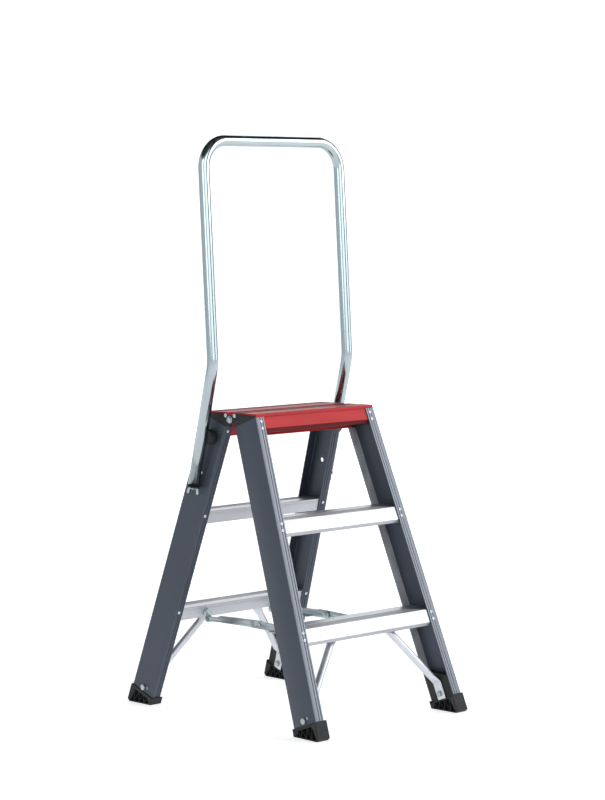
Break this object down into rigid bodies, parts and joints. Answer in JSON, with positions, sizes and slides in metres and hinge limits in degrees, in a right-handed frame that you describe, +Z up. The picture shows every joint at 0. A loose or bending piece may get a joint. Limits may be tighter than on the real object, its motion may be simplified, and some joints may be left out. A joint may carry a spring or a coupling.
{
  "type": "step stool",
  "caption": "Double-sided folding step ladder: channel stiles, hollow treads, red platform over a top hinge, folding spreader arms and a bent tube handrail",
  "frame": {"origin": "on the floor under the middle of the platform", "axes": "+X to the right seen from the front section, +Y towards the section that carries the handrail, +Z up"},
  "size_m": [0.4628, 0.6748, 1.328],
  "materials": {
    "painted_stile": "powder-coated, satin anthracite",
    "aluminium": "natural extruded",
    "red_platform": "powder-coated, satin red",
    "black_plastic": "moulded matt",
    "zinc_steel": "bright zinc plated"
  },
  "bodies": {
    "rear_section": {"stile_rear_left": "painted_stile", "shoe_rear_left": "black_plastic", "brace_rear_left": "aluminium", "foot_bolt_rear_left": "zinc_steel", "hinge_leaf_rear_left": "black_plastic", "spreader_bracket_rear_left": "zinc_steel", "spreader_pin_rear_left": "zinc_steel", "stile_rear_right": "painted_stile", "shoe_rear_right": "black_plastic", "brace_rear_right": "aluminium", "foot_bolt_rear_right": "zinc_steel", "hinge_leaf_rear_right": "black_plastic", "spreader_bracket_rear_right": "zinc_steel", "spreader_pin_rear_right": "zinc_steel", "tread_rear_lower": "aluminium", "tread_rear_middle": "aluminium", "platform_plank_rear": "red_platform", "handrail_tube": "zinc_steel", "hinge_bolt_left": "zinc_steel", "hinge_bolt_right": "zinc_steel", "rail_saddle_left": "black_plastic", "rail_saddle_right": "black_plastic", "rail_screw_left": "zinc_steel", "rail_screw_right": "zinc_steel", "rail_end_plug_left": "black_plastic", "rail_end_plug_right": "black_plastic", "rail_stud_left": "zinc_steel", "rail_stud_right": "zinc_steel"},
    "front_section": {"stile_front_left": "painted_stile", "shoe_front_left": "black_plastic", "brace_front_left": "aluminium", "foot_bolt_front_left": "zinc_steel", "hinge_leaf_front_left": "black_plastic", "spreader_bracket_front_left": "zinc_steel", "spreader_pin_front_left": "zinc_steel", "stile_front_right": "painted_stile", "shoe_front_right": "black_plastic", "brace_front_right": "aluminium", "foot_bolt_front_right": "zinc_steel", "hinge_leaf_front_right": "black_plastic", "spreader_bracket_front_right": "zinc_steel", "spreader_pin_front_right": "zinc_steel", "tread_front_lower": "aluminium", "tread_front_middle": "aluminium", "platform_plank_front": "red_platform"},
    "front_arm_left": {"spreader_arm_front_left": "zinc_steel", "spreader_rivet_front_left": "zinc_steel"},
    "rear_arm_left": {"spreader_arm_rear_left": "zinc_steel", "spreader_rivet_rear_left": "zinc_steel"},
    "front_arm_right": {"spreader_arm_front_right": "zinc_steel", "spreader_rivet_front_right": "zinc_steel"},
    "rear_arm_right": {"spreader_arm_rear_right": "zinc_steel", "spreader_rivet_rear_right": "zinc_steel"},
    "wing_nut_left": {"wing_nut_left": "zinc_steel"},
    "wing_nut_right": {"wing_nut_right": "zinc_steel"}
  },
  "joints": [
    {"name": "fold", "type": "hinge", "parent": "rear_section", "child": "front_section", "pos_m": [0, 0, 0.683], "axis": [1, 0, 0], "range_deg": [0, 39.44]},
    {"name": "front_arm_left_pivot", "type": "hinge", "parent": "front_section", "child": "front_arm_left", "pos_m": [-0.1, -0.192, 0.196], "axis": [1, 0, 0], "range_deg": [-107.6, 0]},
    {"name": "rear_arm_left_pivot", "type": "hinge", "parent": "rear_section", "child": "rear_arm_left", "pos_m": [-0.1, 0.192, 0.196], "axis": [1, 0, 0], "range_deg": [0, 107.6]},
    {"name": "front_arm_right_pivot", "type": "hinge", "parent": "front_section", "child": "front_arm_right", "pos_m": [0.1, -0.192, 0.196], "axis": [1, 0, 0], "range_deg": [-107.6, 0]},
    {"name": "rear_arm_right_pivot", "type": "hinge", "parent": "rear_section", "child": "rear_arm_right", "pos_m": [0.1, 0.192, 0.196], "axis": [1, 0, 0], "range_deg": [0, 107.6]},
    {"name": "wing_nut_left_turn", "type": "hinge", "parent": "rear_section", "child": "wing_nut_left", "pos_m": [-0.208, 0.1022, 0.5295], "axis": [0, 0.2646, -0.9644], "continuous": true},
    {"name": "wing_nut_right_turn", "type": "hinge", "parent": "rear_section", "child": "wing_nut_right", "pos_m": [0.208, 0.1022, 0.5295], "axis": [0, 0.2646, -0.9644], "continuous": true}
  ],
  "couplings": [
    {"joint": "front_arm_left_pivot", "follows": "fold", "ratio": -2.7258},
    {"joint": "rear_arm_left_pivot", "follows": "fold", "ratio": 2.7258},
    {"joint": "front_arm_right_pivot", "follows": "fold", "ratio": -2.7258},
    {"joint": "rear_arm_right_pivot", "follows": "fold", "ratio": 2.7258}
  ]
}
